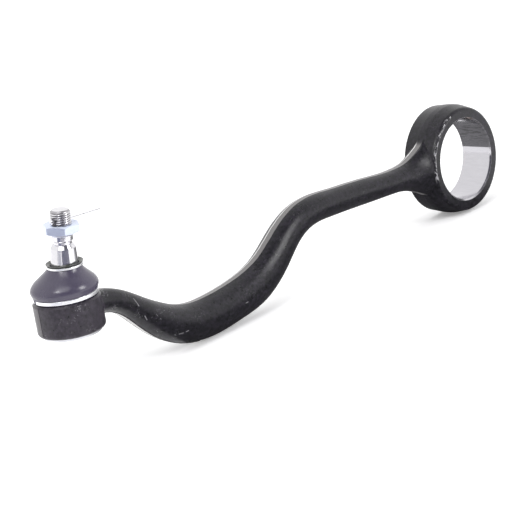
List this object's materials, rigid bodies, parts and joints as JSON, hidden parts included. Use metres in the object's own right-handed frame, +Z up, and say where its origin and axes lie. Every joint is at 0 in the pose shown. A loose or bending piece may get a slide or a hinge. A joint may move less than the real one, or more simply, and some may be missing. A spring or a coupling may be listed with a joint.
{
  "type": "suspension control arm",
  "caption": "Forged, cranked suspension arm with a large bored eye at one end and a booted ball joint with a tapered, threaded stud at the other.",
  "frame": {"origin": "centre of the eye's bore", "axes": "+Y along the bore, away from the picture's viewer; +X from the ball joint to the eye, along the arm; +Z up, the way the ball joint's housing points, with the arm standing on its eye and elbow"},
  "size_m": [0.4753, 0.0456, 0.1298],
  "materials": {
    "black_forging": "satin black coat over forged steel",
    "stud_steel": "ground and polished",
    "polymer": "moulded, hidden inside",
    "cap_steel": "bright zinc plate",
    "boot_rubber": "satin, dark bluish grey",
    "ring_steel": "bright",
    "plated_steel": "bluish zinc plate",
    "pin_steel": "bright drawn wire"
  },
  "bodies": {
    "arm": {"forged_arm": "black_forging", "closing_cap": "cap_steel", "boot_clip_ring": "ring_steel"},
    "seat": {"bearing_shell": "polymer", "dust_boot": "boot_rubber"},
    "boot_neck": {"boot_neck_ring": "ring_steel"},
    "stud": {"ball_stud": "stud_steel"},
    "nut": {"hex_nut": "plated_steel"},
    "pin": {"cotter_pin": "pin_steel"}
  },
  "joints": [
    {"name": "stud_swing", "type": "hinge", "parent": "arm", "child": "seat", "pos_m": [-0.412, 0, 0.019], "axis": [0, 0, 1], "continuous": true},
    {"name": "stud_tilt", "type": "hinge", "parent": "seat", "child": "boot_neck", "pos_m": [-0.412, 0, 0.019], "axis": [0.829, 0.5592, 0], "range_deg": [-25.6, 14.4], "deforming": ["dust_boot"]},
    {"name": "stud_spin", "type": "hinge", "parent": "boot_neck", "child": "stud", "pos_m": [-0.412, 0, 0.019], "axis": [0.0546, -0.0809, 0.9952], "continuous": true},
    {"name": "nut_turn", "type": "hinge", "parent": "stud", "child": "nut", "pos_m": [-0.412, 0, 0.019], "axis": [0.0546, -0.0809, 0.9952], "continuous": true},
    {"name": "pin_pull", "type": "slide", "parent": "stud", "child": "pin", "axis": [-0.9939, 0.091, 0.0619], "range_m": [0, 0.045]}
  ]
}
